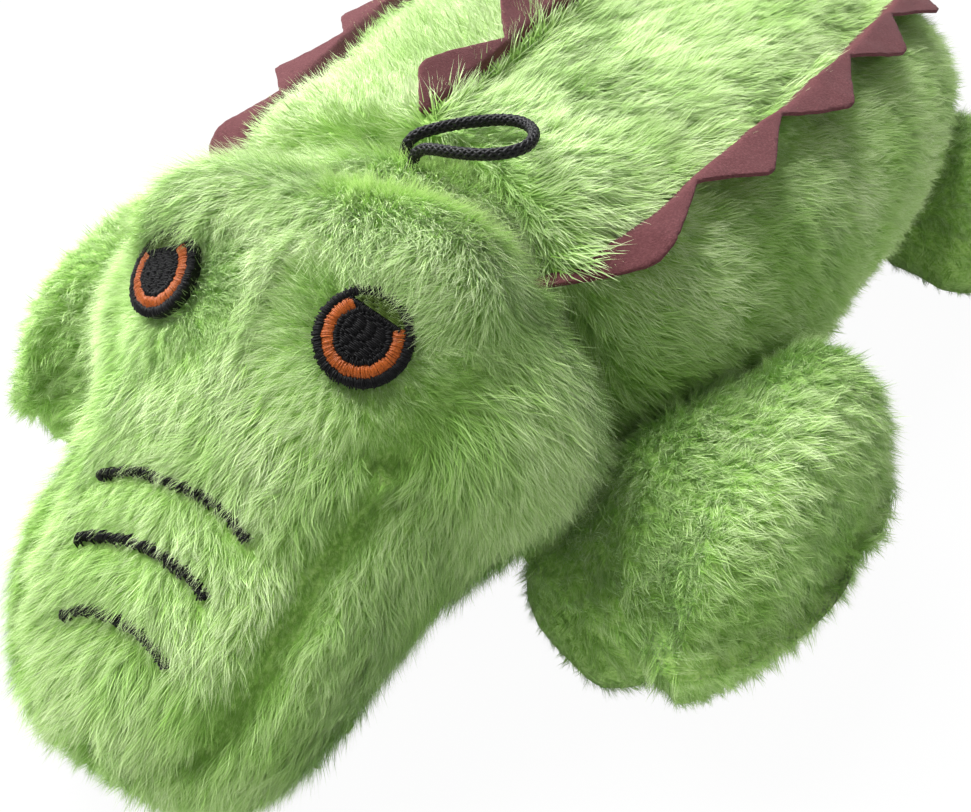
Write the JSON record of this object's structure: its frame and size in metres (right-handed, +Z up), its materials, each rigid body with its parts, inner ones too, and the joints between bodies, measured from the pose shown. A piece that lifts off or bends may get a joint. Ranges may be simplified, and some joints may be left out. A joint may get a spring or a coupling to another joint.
{
  "type": "plush chew toy",
  "caption": "Long plush alligator lying on its belly, with a hinged head, tail and legs, felt back spikes, embroidered eyes, a hang loop and a squeaker in its body.",
  "frame": {"origin": "centre of the toy's bounding box on the floor that its belly lies on", "axes": "+Y from the snout to the tail's tip, +X to the toy's own left, +Z up"},
  "size_m": [0.3028, 0.638, 0.1332],
  "materials": {
    "green_plush": "long soft pile",
    "pale_green_plush": "soft pile",
    "maroon_felt": "matte felt",
    "black_thread": "satin embroidery thread",
    "orange_thread": "satin embroidery thread",
    "olive_thread": "satin embroidery thread",
    "stuffing_fibre": "loose polyester fibre",
    "black_cord": "braided cord",
    "squeaker_plastic": "thin moulded plastic"
  },
  "bodies": {
    "body": {"back_panel_left": "green_plush", "back_panel_right": "green_plush", "flank_panel_left": "green_plush", "flank_panel_right": "green_plush", "belly_panel": "pale_green_plush", "body_stuffing": "stuffing_fibre", "squeaker_bulb": "squeaker_plastic", "squeaker_reed": "squeaker_plastic", "spine_felt": "maroon_felt", "side_felt_left": "maroon_felt", "side_felt_right": "maroon_felt", "hang_loop": "black_cord"},
    "head": {"crown_panel": "green_plush", "chin_panel": "pale_green_plush", "jowl_panel_left": "green_plush", "jowl_panel_right": "green_plush", "cheek_panel_left": "green_plush", "cheek_panel_right": "green_plush", "head_stuffing": "stuffing_fibre", "eye_border_left": "black_thread", "eye_border_right": "black_thread", "eye_iris_left": "orange_thread", "eye_iris_right": "orange_thread", "eye_pupil_left": "black_thread", "eye_pupil_right": "black_thread", "eye_lid_left": "olive_thread", "eye_lid_right": "olive_thread", "nose_stitch_upper": "black_thread", "nose_stitch_middle": "black_thread", "nose_stitch_lower": "black_thread"},
    "tail": {"tail_panel_left": "green_plush", "tail_panel_right": "green_plush", "tail_stuffing": "stuffing_fibre", "tail_felt": "maroon_felt"},
    "front_leg_left": {"front_leg_left_upper_panel": "green_plush", "front_leg_left_lower_panel": "green_plush", "front_leg_left_stuffing": "stuffing_fibre"},
    "front_leg_right": {"front_leg_right_upper_panel": "green_plush", "front_leg_right_lower_panel": "green_plush", "front_leg_right_stuffing": "stuffing_fibre"},
    "rear_leg_left": {"rear_leg_left_upper_panel": "green_plush", "rear_leg_left_lower_panel": "green_plush", "rear_leg_left_stuffing": "stuffing_fibre"},
    "rear_leg_right": {"rear_leg_right_upper_panel": "green_plush", "rear_leg_right_lower_panel": "green_plush", "rear_leg_right_stuffing": "stuffing_fibre"}
  },
  "joints": [
    {"name": "head_nod", "type": "hinge", "parent": "body", "child": "head", "pos_m": [0, -0.192, 0.058], "axis": [1, 0, 0], "range_deg": [-6, 8], "stiffness_Nm_per_rad": 0.03},
    {"name": "tail_wag", "type": "hinge", "parent": "body", "child": "tail", "pos_m": [0, 0.076, 0.046], "axis": [0, 0, 1], "range_deg": [-8, 8], "stiffness_Nm_per_rad": 0.03},
    {"name": "front_leg_left_flop", "type": "hinge", "parent": "body", "child": "front_leg_left", "pos_m": [0.0895, -0.199, 0.033], "axis": [0, 1, 0], "range_deg": [-8, 8], "stiffness_Nm_per_rad": 0.03},
    {"name": "front_leg_right_flop", "type": "hinge", "parent": "body", "child": "front_leg_right", "pos_m": [-0.0895, -0.199, 0.033], "axis": [0, 1, 0], "range_deg": [-8, 8], "stiffness_Nm_per_rad": 0.03},
    {"name": "rear_leg_left_flop", "type": "hinge", "parent": "body", "child": "rear_leg_left", "pos_m": [0.1055, 0.016, 0.033], "axis": [0, 1, 0], "range_deg": [-8, 8], "stiffness_Nm_per_rad": 0.03},
    {"name": "rear_leg_right_flop", "type": "hinge", "parent": "body", "child": "rear_leg_right", "pos_m": [-0.1055, 0.016, 0.033], "axis": [0, 1, 0], "range_deg": [-8, 8], "stiffness_Nm_per_rad": 0.03}
  ]
}
